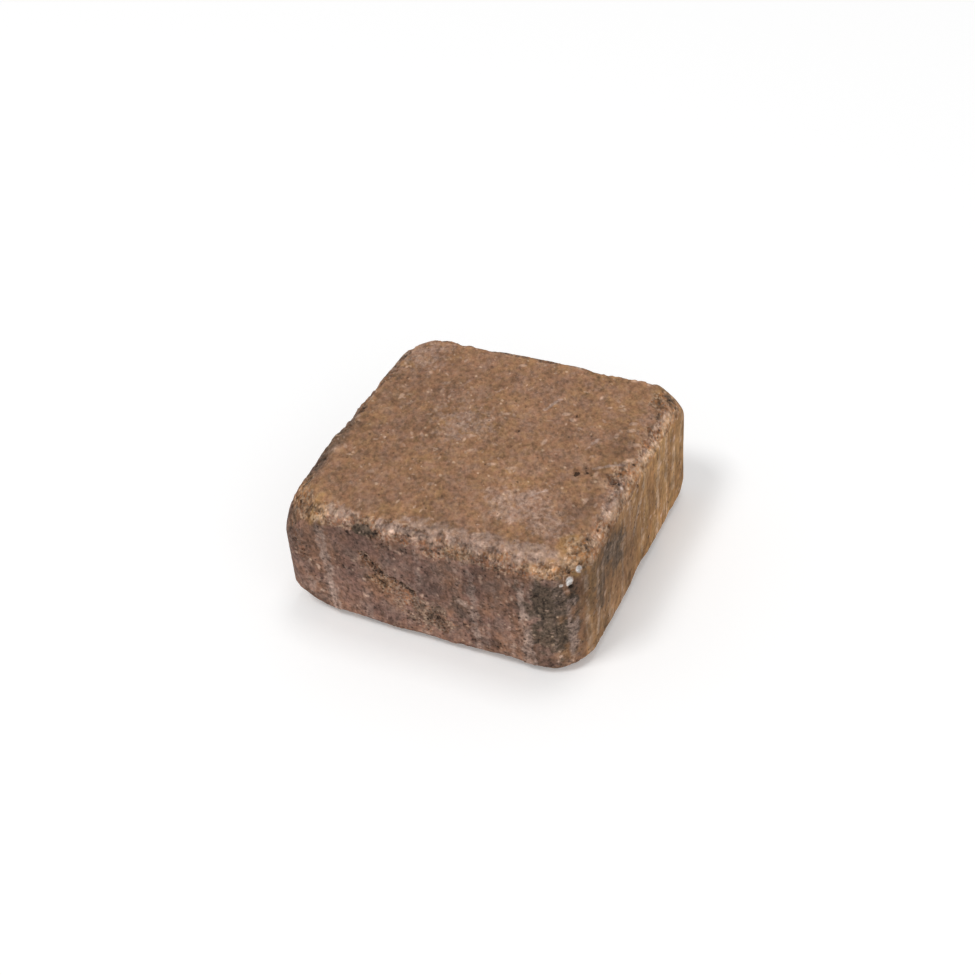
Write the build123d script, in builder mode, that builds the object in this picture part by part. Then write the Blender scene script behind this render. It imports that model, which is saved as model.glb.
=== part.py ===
"""Square concrete paver, pressed in a mould as one piece and then tumbled.

Frame: +Z up, origin at the middle of the bed face, X and Y square to the walls.
The front wall looks along -Y and the right wall along +X. Sizes are millimetres.

Tumbling leaves three kinds of wear, which the model makes in this order:
every arris is rounded, the corners are knocked round as by a large ball,
and shallow scoops are broken out of the arrises.
"""

import os
from dataclasses import dataclass
from math import cos, radians, sin, sqrt

from build123d import *

# The block as it leaves the mould
length = 140.0  # along X
width = 140.0  # along Y
thickness = 60.0  # bed face to wearing face

# Rounding that tumbling gives to the long edges
wearing_arris = 5.0  # radius round the wearing face
bed_arris = 5.0  # radius round the bed face

# The ball that a knocked corner is round to. It has to take in the rounded arrises
# where it is widest, or it leaves a step there: a deeper wear needs a larger ball.
ball_radius = 46.0
ball_steepness = 1.2  # rise of the line from ball to corner, for each step in X


@dataclass(frozen=True)
class Corner:
    """One upright corner: where it stands, its radius in plan and its worn tips."""

    side_x: int
    side_y: int
    radius: float
    top_wear: float
    bed_wear: float
    top_ball: float = ball_radius
    bed_ball: float = ball_radius


@dataclass(frozen=True)
class Chip:
    """A scoop broken out of an arris of one wall.

    place runs from -1 to 1 along the straight stretch of the wall, seen from
    outside from left to right, and lean from 0 at the wall to 90 at the face.
    """

    wall: float
    on_top: bool
    place: float
    reach: float
    depth: float
    lean: float = 45.0


near_right = Corner(1, -1, radius=21.0, top_wear=2.5, bed_wear=2.5)
far_right = Corner(1, 1, radius=9.0, top_wear=8.0, bed_wear=5.5, top_ball=54.0)
far_left = Corner(-1, 1, radius=18.0, top_wear=4.0, bed_wear=3.0)
near_left = Corner(-1, -1, radius=10.0, top_wear=10.5, bed_wear=6.5, top_ball=70.0)
corners = (near_right, far_right, far_left, near_left)

# Walls are named by the direction that they look in, in degrees from +X
right, back, left, front = 0.0, 90.0, 180.0, 270.0
chips = (
    Chip(front, True, place=0.02, reach=26.0, depth=1.9, lean=30.0),
    Chip(front, True, place=0.42, reach=17.0, depth=1.2, lean=25.0),
    Chip(front, True, place=-0.62, reach=22.0, depth=1.1, lean=60.0),
    Chip(front, False, place=0.75, reach=18.0, depth=1.0, lean=35.0),
    Chip(front, False, place=-0.78, reach=16.0, depth=1.4, lean=40.0),
    Chip(right, True, place=-0.82, reach=24.0, depth=1.8, lean=65.0),
    Chip(right, True, place=-0.10, reach=20.0, depth=1.2, lean=50.0),
    Chip(right, True, place=0.55, reach=28.0, depth=2.0, lean=55.0),
    Chip(right, False, place=0.05, reach=24.0, depth=2.2, lean=35.0),
    Chip(back, True, place=-0.72, reach=34.0, depth=1.8, lean=50.0),
    Chip(back, True, place=0.75, reach=28.0, depth=1.5, lean=50.0),
    Chip(back, False, place=-0.25, reach=22.0, depth=1.6, lean=40.0),
    Chip(left, True, place=0.85, reach=42.0, depth=4.4, lean=55.0),
    Chip(left, True, place=0.10, reach=24.0, depth=1.7, lean=45.0),
    Chip(left, True, place=-0.35, reach=18.0, depth=1.4, lean=35.0),
    Chip(left, False, place=0.20, reach=20.0, depth=1.5, lean=45.0),
)


def knocked_off(corner: Corner, on_top: bool) -> Part:
    """The lump that tumbling takes off one tip of an upright corner."""
    wear = corner.top_wear if on_top else corner.bed_wear
    ball = corner.top_ball if on_top else corner.bed_ball
    level = thickness if on_top else 0.0
    rise = 1 if on_top else -1
    outwards = Vector(corner.side_x, corner.side_y, rise * ball_steepness).normalized()

    # The tip lies on the plan radius, halfway round the corner
    plan_inset = corner.radius * (1 - sqrt(0.5))
    tip = Vector(
        corner.side_x * (length / 2 - plan_inset),
        corner.side_y * (width / 2 - plan_inset),
        level,
    )
    ball_centre = tip - outwards * (ball + wear)

    # The lump starts where the ball is widest, so that only its outside is cut
    reach = Vector(
        abs(length / 2 * corner.side_x - ball_centre.X),
        abs(width / 2 * corner.side_y - ball_centre.Y),
        abs(level - ball_centre.Z),
    )
    lump_centre = ball_centre + Vector(
        corner.side_x * reach.X / 2, corner.side_y * reach.Y / 2, rise * reach.Z / 2
    )
    with BuildPart() as lump:
        with Locations(lump_centre):
            Box(reach.X, reach.Y, reach.Z)
        with Locations(ball_centre):
            Sphere(ball, mode=Mode.SUBTRACT)
    return lump.part


def scoop_radius(chip: Chip) -> float:
    """Radius of the ball that leaves a scoop of the chip's reach and depth."""
    return ((chip.reach / 2) ** 2 + chip.depth**2) / (2 * chip.depth)


def scoop_centre(chip: Chip) -> Vector:
    """Middle of that ball, which stands off the rounded arris."""
    arris = wearing_arris if chip.on_top else bed_arris
    along_x = chip.wall in (front, back)
    run, across = (length, width) if along_x else (width, length)
    straight = run / 2 - max(corner.radius for corner in corners)
    outwards = Vector(cos(radians(chip.wall)), sin(radians(chip.wall)), 0)
    sideways = Vector(0, 0, 1).cross(outwards)
    up = Vector(0, 0, 1 if chip.on_top else -1)

    # Middle of the arris' rounding at the chip's place
    inner_level = thickness - arris if chip.on_top else arris
    middle = outwards * (across / 2 - arris) + sideways * (chip.place * straight)
    middle += Vector(0, 0, inner_level)
    bite = outwards * cos(radians(chip.lean)) + up * sin(radians(chip.lean))
    return middle + bite * (arris + scoop_radius(chip) - chip.depth)


lumps = [knocked_off(corner, on_top) for corner in corners for on_top in (True, False)]

with BuildPart() as paver:
    # Mould: a square with its upright corners rounded, each to its own radius
    with BuildSketch() as outline:
        Rectangle(length, width)
        for corner in corners:
            sharp = (corner.side_x * length / 2, corner.side_y * width / 2)
            fillet(outline.vertices().sort_by_distance(sharp)[0], corner.radius)
    extrude(amount=thickness)

    # Tumbling: arrises first, then the knocked corners, then the chips
    fillet(paver.edges().group_by(Axis.Z)[-1], wearing_arris)
    fillet(paver.edges().group_by(Axis.Z)[0], bed_arris)
    add(lumps, mode=Mode.SUBTRACT)
    for chip in chips:
        with Locations(scoop_centre(chip)):
            Sphere(scoop_radius(chip), mode=Mode.SUBTRACT)

paver.part.label = "paver"
os.makedirs("parts", exist_ok=True)
export_step(paver.part, "parts/paver.step")
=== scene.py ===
"""Looks of a tumbled concrete paver: its fine relief, its finish, and the studio it lies in.

Places and sizes are in millimetres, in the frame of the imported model: +Z up, the
origin in the middle of the bed face, the front wall towards -Y and the right wall
towards +X. MM turns them into metres. Colours are written as 0 to 255 screen values.
"""

import logging
from dataclasses import dataclass
from enum import Enum
from math import cos, radians, sin
from typing import ClassVar

import bpy
import numpy as np
from mathutils import Matrix, Vector, noise


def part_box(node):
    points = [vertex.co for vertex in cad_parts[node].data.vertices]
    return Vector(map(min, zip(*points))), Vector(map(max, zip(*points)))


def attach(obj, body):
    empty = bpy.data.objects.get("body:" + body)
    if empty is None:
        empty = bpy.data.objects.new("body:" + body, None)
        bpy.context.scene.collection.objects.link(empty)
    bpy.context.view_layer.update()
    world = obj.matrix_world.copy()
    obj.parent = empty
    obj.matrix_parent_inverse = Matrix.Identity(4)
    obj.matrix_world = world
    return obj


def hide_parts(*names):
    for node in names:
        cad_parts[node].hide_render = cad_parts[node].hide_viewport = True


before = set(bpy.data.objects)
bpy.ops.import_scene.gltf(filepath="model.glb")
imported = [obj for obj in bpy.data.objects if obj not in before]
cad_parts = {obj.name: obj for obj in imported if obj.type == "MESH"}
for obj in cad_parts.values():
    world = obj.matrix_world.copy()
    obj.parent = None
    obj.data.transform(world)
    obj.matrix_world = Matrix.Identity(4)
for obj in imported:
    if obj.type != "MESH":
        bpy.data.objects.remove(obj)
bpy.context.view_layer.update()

log = logging.getLogger("paver")

MM = 0.001
LEAST_WEIGHT = 0.003  # vertex weights up to this one are left out
COARSE_GRAIN, FINE_GRAIN = 1.5, 0.85
Place = tuple[float, float, float]
Paint = tuple[float, float, float, float]
Piece = bpy.types.Object
Tree = bpy.types.NodeTree
Sockets = bpy.types.bpy_prop_collection
Socket = bpy.types.NodeSocket
Value = Socket | float | tuple


class Mask(Enum):
    """A point attribute on the paver: where a kind of wear or colour lies, and the painted shade and
    highlight of the relief.
    """

    BARE = "bare"
    PITTED = "pitted"
    CHARCOAL = "charcoal"
    LIME = "lime"
    OCHRE = "ochre"
    MAUVE = "mauve"
    WHITE = "white"
    PIT = "pit_shade"
    CRACK = "crack"
    WALL = "wall"
    # painted shade in hollows and painted highlight where the skin stands out
    RELIEF_SHADE = "relief"
    TONE = "tone"


@dataclass(frozen=True)
class Patch:
    """A blot on the skin: an ellipsoid round a place, with a soft rim from inner to outer."""

    at: Place
    reach: Place
    amount: float = 1.0
    inner: ClassVar[float] = 0.55
    outer: ClassVar[float] = 1.35

    def off(self, points: np.ndarray) -> np.ndarray:
        """Return how far each point is from the middle, in reaches."""
        return np.linalg.norm((points - self.at) / self.reach, axis=1)


@dataclass(frozen=True)
class Stroke:
    """A band on the skin along a straight line, with a soft rim from inner to outer."""

    start: Place
    end: Place
    width: float
    amount: float = 1.0
    inner: ClassVar[float] = 0.4
    outer: ClassVar[float] = 1.2

    def off(self, points: np.ndarray) -> np.ndarray:
        """Work out how far each point is from the line.

        Args:
            points: The points.

        Returns:
            One distance a point, in widths.
        """
        run = np.subtract(self.end, self.start)
        share = np.clip((points - self.start) @ run / (run @ run), 0.0, 1.0)
        return np.linalg.norm(points - self.start - share[:, None] * run, axis=1) / self.width


Patches = tuple[Patch, ...]
Strokes = tuple[Stroke, ...]


@dataclass(frozen=True)
class Wear:
    """A kind of relief: its depth, and the size and number of its clouds if it has any."""

    name: str
    depth: float
    clouds: float = 0.0
    octaves: int = 1


@dataclass(frozen=True)
class Strewn:
    """Blots strewn in the finish, drawn out along each axis and turned by degrees about Z."""

    spacing: float
    size: float
    drawn: Place
    turn: float = 0.0
    amount: float = 1.0


@dataclass(frozen=True)
class Lamp:
    """A square soft light: its azimuth from the front and elevation in degrees, and its watts."""

    name: str
    azimuth: float
    elevation: float
    size: float
    power: float


def smooth(low: float, high: float, value: np.ndarray) -> np.ndarray:
    """Rise softly from 0 at low to 1 at high.

    Args:
        low: Value that gives 0.
        high: Value that gives 1.
        value: The values to grade.

    Returns:
        The graded values.
    """
    share = np.clip((value - low) / (high - low), 0.0, 1.0)
    return share * share * (3.0 - 2.0 * share)


def screen(red: float, green: float, blue: float) -> Paint:
    """Turn a screen colour of 0 to 255 into the linear colour that shaders take.

    Args:
        red: Its red.
        green: Its green.
        blue: Its blue.

    Returns:
        The linear colour, with an alpha of 1.
    """
    share = np.array((red, green, blue)) / 255
    linear = np.where(share <= 0.04045, share / 12.92, ((share + 0.055) / 1.055) ** 2.4)
    return (*linear.tolist(), 1.0)


def towards(azimuth: float, elevation: float) -> Vector:
    """Return the direction at an azimuth from the front and an elevation, in degrees."""
    turn, rise = radians(azimuth), radians(elevation)
    return Vector((sin(turn) * cos(rise), -cos(turn) * cos(rise), sin(rise)))


def pick(piece: Piece | None) -> None:
    """Leave object mode with this piece alone selected and active, or with nothing selected.

    Args:
        piece: The piece, or None.
    """
    if bpy.context.object and bpy.context.object.mode != "OBJECT":
        bpy.ops.object.mode_set(mode="OBJECT")
    bpy.ops.object.select_all(action="DESELECT")
    if piece:
        piece.select_set(True)
        bpy.context.view_layer.objects.active = piece


class Skin:
    """The points of a dense mesh in millimetres, on which masks are worked out."""

    def __init__(self, piece: Piece) -> None:
        """Read the points of a piece.

        Args:
            piece: The meshed paver.
        """
        flat = np.empty(len(piece.data.vertices) * 3, np.float32)
        piece.data.vertices.foreach_get("co", flat)
        self.points = flat.reshape(-1, 3).astype(float) / MM

    def cloud(self, size: float, seed: int, octaves: int = 3, tall: float = 1.0) -> np.ndarray:
        """Make cloudy noise of about -1 to 1 over the skin.

        Args:
            size: Width of the largest clouds.
            seed: Which clouds to take.
            octaves: How many finer clouds are added.
            tall: How many times taller than wide the clouds are.

        Returns:
            One value a point.
        """
        shift = np.array((31.7, 17.3, 53.9)) * seed
        where = self.points / (size, size, size * tall) + shift
        return np.array([noise.fractal(p, 1.0, 2.0, octaves) for p in where.tolist()])

    def dimples(self, spacing: float, seed: int) -> tuple[np.ndarray, np.ndarray]:
        """Scatter round dimples, one in each cell.

        Args:
            spacing: Usual distance from one dimple to the next.
            seed: Which scatter to take.

        Returns:
            The distance of each point to its dimple's middle, and a random number
            from 0 to 1 that the points of a dimple share.
        """
        shift = np.array((11.3, 47.9, 29.1)) * seed
        where = self.points / spacing + shift
        middles = np.array([noise.voronoi(p)[1][0] for p in where.tolist()])
        lot = 0.5 + 0.5 * np.array([noise.cell(m) for m in (middles * 7.31).tolist()])
        return np.linalg.norm(where - middles, axis=1) * spacing, lot

    def standing(self, piece: Piece, rounds: int) -> np.ndarray:
        """Work out how far each point stands out of its surroundings.

        Args:
            piece: The mesh that the points are from.
            rounds: How often the surroundings are averaged.

        Returns:
            One distance a point, below 0 in a hollow.
        """
        mesh, count = piece.data, len(self.points)
        ends = np.empty(len(mesh.edges) * 2, np.int32)
        mesh.edges.foreach_get("vertices", ends)
        ends = ends.reshape(-1, 2)
        at, beside = np.concatenate((ends, ends[:, ::-1])).T
        neighbours = np.bincount(at, minlength=count)
        level = self.points
        for _ in range(rounds):
            sums = [np.bincount(at, weights=level[beside, axis], minlength=count) for axis in range(3)]
            level = np.array(sums).T / neighbours[:, None]
        normals = np.empty(count * 3, np.float32)
        mesh.vertices.foreach_get("normal", normals)
        return ((self.points - level) * normals.reshape(-1, 3)).sum(axis=1)

    def marks(self, items: Patches | Strokes, ragged: np.ndarray | float = 0.0) -> np.ndarray:
        """Grade the skin from 0 off all marks to their amount within one.

        Args:
            items: The patches or strokes.
            ragged: What is added to the distance, which frays the edges.

        Returns:
            One value a point.
        """
        total = np.zeros(len(self.points))
        for item in items:
            inside = 1.0 - smooth(item.inner, item.outer, item.off(self.points) + ragged)
            total = np.maximum(total, item.amount * inside)
        return total


@dataclass
class Paver:
    """The one piece of pressed concrete, with the relief that tumbling left on it.

    The sizes of its mesh come first, then the kinds of relief, then where wear and
    colours lie on it: patches with a place and a reach, and strokes between two places.
    """

    voxel: float = 0.87
    half: float = 70.0
    corner_radius: float = 16.0
    softening: int = 14
    rounding: int = 45
    surroundings: int = 14
    top_band: float = 5.6
    bed_band: float = 4.2
    bed: float = 3.0
    # how much change of relief spans the whole painted shade and highlight
    relief_shade_span: float = 0.8

    let_out: Wear = Wear("let out", -0.55)
    full_corner: Wear = Wear("fuller corners", -1.6)
    low_foot: Wear = Wear("worn foot", 1.3)
    uneven: Wear = Wear("uneven face", 0.45, 32.0)
    drag: Wear = Wear("drag marks", 0.2)
    broken: Wear = Wear("broken skin", 0.5)
    crumbled: Wear = Wear("crumbled arris", 0.75, 6.5, 2)
    pocket: Wear = Wear("air pockets", 0.8)
    plucked: Wear = Wear("plucked grains", 1.1)
    hole: Wear = Wear("holes", 0.9)
    split: Wear = Wear("crack", 0.4, 2.2)
    sand: Wear = Wear("sand", 0.75, 1.7)

    bare: Patches = (
        Patch((8.5, -70, 54), (8, 4, 3)),
        Patch((24, -69, 56), (9, 4, 2)),
        Patch((-47, -67, 59), (12, 6, 4)),
        Patch((-60, -63, 56), (9, 9, 5)),
        Patch((-67, -56, 55), (8, 12, 6)),
        Patch((66, -54, 59), (7, 9, 4)),
        Patch((58, -67, 57), (9, 6, 2.5)),
        Patch((66, 54, 58), (9, 9, 6)),
        Patch((63, -2, 60), (4, 9, 4)),
    )
    fuller: Patches = (
        Patch((63, 63, 55), (11, 11, 9), 0.55),
        Patch((-61, -61, 53), (12, 12, 9), 0.4),
    )
    worn_foot: Patches = (
        Patch((-60, -68, 3), (11, 9, 8)),
        Patch((68, 62, 40), (5, 9, 26), 0.3),
    )
    knocked: Patches = (
        Patch((62, 62, 56), (16, 16, 12)),
        Patch((-62, -62, 54), (16, 16, 14)),
        Patch((62, -62, 56), (12, 12, 9), 0.5),
        Patch((-62, 62, 56), (12, 12, 9), 0.5),
    )
    gouge: Strokes = (
        Stroke((-27.5, -70, 42), (-20, -70, 33), 3.4),
        Stroke((-20, -70, 33), (-6, -70, 28.5), 3.2),
        Stroke((-22, -70, 30), (-13, -70, 26), 5.0),
        Stroke((-9, -70, 24), (8.6, -70, 14), 6.0),
        Stroke((-14, -70, 20), (0, -70, 9), 3.5, 0.6),
        Stroke((-64, -68, 50), (-58, -70, 34), 5.0, 0.6),
    )
    crack: Strokes = (
        Stroke((-27.5, -70, 42.5), (-25.5, -70, 39.0), 1.5),
        Stroke((-24.6, -70, 38.2), (-21.6, -70, 36.2), 1.5),
        Stroke((-20.8, -70, 35.6), (-19.2, -70, 33.6), 1.3),
        Stroke((-17.4, -70, 33.4), (-13.4, -70, 32.6), 1.4),
        Stroke((-11.8, -70, 32.2), (-9.0, -70, 29.8), 1.5),
        Stroke((-8.2, -70, 29.2), (-5.8, -70, 28.0), 1.6),
        Stroke((-23.0, -70, 33.0), (-21.0, -70, 29.6), 1.3, 0.9),
        Stroke((-19.4, -70, 28.2), (-15.5, -70, 27.2), 1.3, 0.8),
        Stroke((-5.5, -70, 23.5), (-2.5, -70, 21.8), 1.6, 0.8),
        Stroke((-0.5, -70, 18.5), (3.5, -70, 16.8), 1.6, 0.8),
        Stroke((4.5, -70, 19.2), (8.0, -70, 14.5), 1.5, 0.8),
    )
    charcoal: Patches = (
        Patch((57, -68, 41), (15, 9, 12), 0.95),
        Patch((58, -67, 24), (12, 9, 13), 0.95),
        Patch((56, -68, 8), (12, 7, 10), 0.35),
        Patch((70, -35, 46), (5, 10, 8), 0.75),
        Patch((70, -26, 36), (5, 9, 9), 0.75),
        Patch((70, -44, 36), (5, 6, 13), 0.6),
        Patch((69, -52, 40), (5, 7, 16), 0.3),
        Patch((-27, -70, 56.2), (5.6, 4, 2.0), 1.5),
        Patch((16, -70, 27), (5, 4, 6), 0.5),
        Patch((2, -70, 18), (9, 4, 7), 0.55),
        Patch((-66, -20, 58), (6, 22, 6), 0.6),
        Patch((-70, 25, 35), (4, 14, 16), 0.6),
        Patch((-20, 70, 30), (16, 4, 18), 0.6),
    )
    darker: Patches = (
        Patch((-68, 0, 60), (12, 66, 9), 0.6),
        Patch((-32, 15, 60), (30, 34, 5), 0.25),
        Patch((0, -63, 60), (60, 6, 3), 0.32),
        Patch((0, -56, 60), (9, 6, 4), 0.6),
        Patch((43, -57, 60), (8, 6, 3), 0.35),
        Patch((57, 10, 60), (8, 16, 3), 0.6),
        Patch((57, -30, 60), (8, 12, 3), 0.6),
        Patch((-36, -40, 60), (24, 18, 4), 0.2),
        Patch((-10, 69, 60), (56, 5, 4), 0.5),
        Patch((70, -8, 22), (5, 9, 15), 0.4),
        Patch((68, -63, 38), (8, 8, 26), 0.5),
        Patch((70, -16, 32), (5, 44, 24), 0.3),
        Patch((-27, -70, 56.2), (5, 4, 1.8), 0.9),
        Patch((-67, -66, 34), (9, 9, 34), 0.2),
        Patch((-64, -60, 57), (11, 15, 8), 0.6),
        Patch((62, 61, 58), (12, 12, 6), 0.6),
        Patch((60, 0, 60), (8, 56, 3), 0.15),
        Patch((61, -51, 60), (8, 9, 4), 0.4),
        Patch((16, -69, 59), (10, 4, 3), 0.45),
        Patch((42, -69, 60), (9, 4, 3), 0.45),
        Patch((-28, -69, 59.5), (6, 4, 4), 0.6),
        Patch((-28, 14, 60), (8, 7, 4), 0.45),
        Patch((57, -44, 60), (6, 7, 3), 0.5),
        Patch((70, -12, 32), (4, 6, 13), 0.55),
        Patch((-14, -70, 30), (5, 4, 5), 0.3),
        Patch((-14, -70, 55), (5, 4, 3), 0.3),
        Patch((14, -70, 56), (32, 4, 2.6), 0.5),
        Patch((42, -70, 38), (4, 4, 8), 0.25),
        Patch((29, -70, 9), (5, 4, 6), 0.8),
        Patch((70, -22, 30), (5, 12, 9), 0.5),
        Patch((70, -34, 19), (5, 28, 7), 0.4),
        Patch((-56, -68, 60), (8, 5, 3), 0.9),
        Patch((28, -70, 42), (9, 4, 9), 0.35),
        Patch((-29, -70, 43), (6, 4, 7), 0.3),
        Patch((4, -70, 31), (11, 4, 7), 0.35),
        Patch((10, 0, 60), (9, 9, 5), 0.15),
    )
    lighter: Patches = (
        Patch((28, -28, 60), (20, 16, 5), 0.15),
        Patch((68, -58, 57), (6, 12, 4), 0.5),
        Patch((69, -48, 56), (4, 9, 3), 0.7),
        Patch((43, -70, 20), (4, 4, 5), 0.3),
        Patch((57, -69.5, 55.5), (7, 4, 2.5), 0.6),
        Patch((69, -20, 58), (4, 30, 4), 0.2),
        Patch((69, 15, 58), (4, 24, 5), 0.45),
        Patch((69, 44, 58), (4, 16, 5), 0.6),
        Patch((70, 36, 13), (4, 34, 12), 0.5),
        Patch((70, -28, 9), (4, 10, 5), 0.35),
        Patch((70, 40, 50), (4, 30, 16), 0.2),
        Patch((-13, -69, 59), (6, 4, 3), 0.3),
        Patch((-20, -70, 12), (34, 4, 10), 0.15),
    )
    lime: Patches = (
        Patch((-16, 7, 60), (15, 13, 4), 0.42),
        Patch((30, -37, 60), (13, 12, 4), 0.46),
        Patch((46, -44, 60), (12, 10, 4), 0.42),
        Patch((-57, 50, 60), (13, 17, 5), 0.38),
        Patch((-12, -66.5, 60), (10, 3, 3), 0.85),
        Patch((-42, -65, 60), (12, 4, 3), 0.6),
        Patch((0, -68, 59.5), (8, 3, 2.5), 0.75),
        Patch((15, -63, 60), (26, 6, 3), 0.6),
        Patch((48, -61, 60), (16, 6, 3), 0.65),
        Patch((68.5, 13, 59), (4, 9, 3), 0.7),
        Patch((68.5, 42, 59), (4, 8, 3), 0.55),
        Patch((67, -20, 59), (4, 20, 4), 0.5),
        Patch((62, 33, 60), (7, 12, 4), 0.22),
        Patch((18, -70, 30), (3, 3, 2), 0.6),
        Patch((70, -30, 44), (4, 5, 4), 0.5),
    )
    lime_strokes: Strokes = (
        Stroke((-48, -70, 55), (-45, -70, 4), 3.2, 0.85),
        Stroke((-57, -69, 30), (-56, -69, 8), 2.2, 0.5),
        Stroke((22.5, -70, 48), (24, -70, 6), 2.6, 0.8),
        Stroke((44.5, -70, 50), (46.5, -70, 30), 2.4, 1.1),
        Stroke((46.5, -70, 30), (48, -70, 3), 3.4, 0.9),
        Stroke((40, -70, 26), (41, -70, 6), 2.0, 0.5),
        Stroke((64, -63, 40), (65, -62, 10), 3.0, 0.85),
        Stroke((68.6, -57, 52), (69, -56, 8), 1.6, 0.7),
        Stroke((70, -47.5, 47), (70, -49, 12), 2.0, 0.85),
        Stroke((69, 11.4, 57.8), (70, -4.8, 32.5), 2.4, 0.9),
        Stroke((69, 27, 56), (70, 24, 8), 2.8, 1.0),
        Stroke((69.6, 36, 56), (70, 37, 30), 2.2, 0.7),
        Stroke((70, 47, 40), (70, 47, 17), 2.6, 0.85),
        Stroke((70, 8, 40), (70, 6, 12), 2.2, 0.65),
        Stroke((51, -3.4, 60), (62, 4.5, 60), 0.9, 1.0),
        Stroke((14.9, 28.5, 60), (18.8, 38.7, 60), 1.0, 0.9),
        Stroke((-13.6, 28.2, 60), (-9.5, 37.1, 60), 0.9, 0.7),
        Stroke((-30.5, 27.2, 60), (-26.6, 38.7, 60), 0.9, 0.5),
        Stroke((42.7, 7.5, 60), (45.6, 16.8, 60), 0.9, 0.8),
        Stroke((32.1, -29.5, 60), (37.7, -23.2, 60), 0.9, 0.8),
    )
    ochre: Patches = (
        Patch((-56, -67, 58), (14, 9, 6)),
        Patch((-67, -57, 56), (8, 13, 6), 0.9),
        Patch((64, 58, 57), (9, 9, 6), 0.7),
        Patch((66, -56, 58), (8, 11, 6), 0.8),
        Patch((58, -67, 57), (11, 6, 3), 0.9),
        Patch((16, -69, 56), (8, 4, 3), 0.6),
        Patch((61, -52, 60), (7, 8, 3), 0.8),
        Patch((-20, -70, 30), (7, 3, 5), 0.55),
    )
    white: Patches = (
        Patch((64, -63.7, 52.0), (1.7, 2.0, 2.8), 1.2),
        Patch((67.2, -59.5, 55.8), (1.4, 1.7, 1.6), 1.2),
        Patch((61.4, -65.6, 50.6), (1.0, 1.2, 1.1), 0.9),
        Patch((53.5, -68.0, 57.4), (1.2, 1.2, 1.2), 0.5),
        Patch((66.5, -9.3, 59.1), (1.2, 1.2, 1.6), 0.7),
        Patch((67.5, -26.4, 59.4), (1.0, 1.6, 1.0), 0.6),
        Patch((35.3, 20.7, 60), (1.4, 1.2, 1.0), 0.5),
        Patch((4.2, -2, 60), (2.4, 1.3, 1.0), 0.35),
        Patch((28, 47.6, 60), (1.8, 1.0, 1.0), 0.4),
        Patch((39, -18.5, 60), (1.3, 1.0, 1.0), 0.4),
        Patch((-53.5, -30, 60), (1.8, 1.0, 1.0), 0.5),
        Patch((-19.7, -13.7, 60), (1.8, 0.9, 1.0), 0.45),
        Patch((-9, -70, 43), (2.0, 1.0, 1.4), 0.3),
        Patch((-15, -66.5, 59.6), (5.5, 1.6, 1.4), 0.22),
        Patch((70, -19.2, 35.1), (1.0, 1.6, 2.4), 0.45),
    )
    # placed holes, pressed into the mesh and darkened with painted shade
    holes: Patches = (
        Patch((45.4, -8.6, 60), (1.2, 1.8, 1.4)),
        Patch((49.4, -6.6, 60), (1.0, 0.9, 1.2), 0.7),
        Patch((52.0, -7.6, 60), (0.8, 0.8, 1.2), 0.6),
        Patch((47.6, -3.6, 60), (0.8, 1.0, 1.2), 0.6),
        Patch((30.6, 29.3, 60), (1.1, 1.2, 1.2), 0.8),
        Patch((9.9, 10.6, 60), (1.0, 1.1, 1.0), 0.7),
        Patch((-0.8, -6.9, 60), (1.0, 1.1, 1.0), 0.6),
        Patch((-27.0, -70, 41.7), (0.9, 1.2, 0.8)),
        Patch((-24.0, -70, 38.4), (0.7, 1.2, 1.0)),
        Patch((-14.2, -70, 32.8), (1.2, 1.2, 0.8)),
        Patch((-10.6, -70, 31.0), (1.3, 1.2, 0.7)),
        Patch((-6.6, -70, 28.2), (1.5, 1.2, 0.8)),
        Patch((-20.0, -70, 34.6), (0.9, 1.2, 0.8)),
        Patch((-20.5, -70, 29.0), (0.9, 1.2, 0.8), 0.8),
        Patch((-1.0, -70, 21.5), (1.1, 1.2, 0.8), 0.8),
        Patch((5.0, -70, 16.5), (1.0, 1.2, 0.9), 0.8),
        # painted shadow under the large white chip, pressed in as a small hole as well
        Patch((64.6, -63.2, 48.6), (1.3, 1.4, 0.8)),
        Patch((43.4, -70, 30), (1.0, 1.2, 0.8), 0.8),
        Patch((40.5, -70, 44), (0.7, 1.2, 0.8), 0.7),
        Patch((51.5, -70, 44.6), (1.2, 1.2, 1.0), 0.8),
        Patch((-58.3, -70, 35.5), (0.8, 1.6, 0.8), 0.8),
        Patch((66, 7.1, 59.9), (1.0, 1.4, 1.2), 0.7),
        Patch((62.5, -8.0, 60), (1.0, 1.2, 1.2), 0.7),
    )

    def build(self) -> Piece:
        """Make the finished mesh, with its masks as point attributes.

        Returns:
            The paver.
        """
        piece = self.block()
        skin = Skin(piece)
        masks = self.masks(skin)
        before = skin.standing(piece, self.surroundings)
        self.tumble(piece, masks)
        # how far tumbling made each point stand out or sink in; the finish paints shade where it sank
        # and a highlight where it rose
        relief = Skin(piece).standing(piece, self.surroundings) - before
        masks[Mask.RELIEF_SHADE] = 0.5 + relief / self.relief_shade_span
        for mask, values in masks.items():
            layer = piece.data.attributes.new(mask.value, "FLOAT", "POINT")
            layer.data.foreach_set("value", np.clip(values, 0.0, 1.0).astype(np.float32))
        pick(piece)
        bpy.ops.object.shade_smooth()
        return piece

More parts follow.
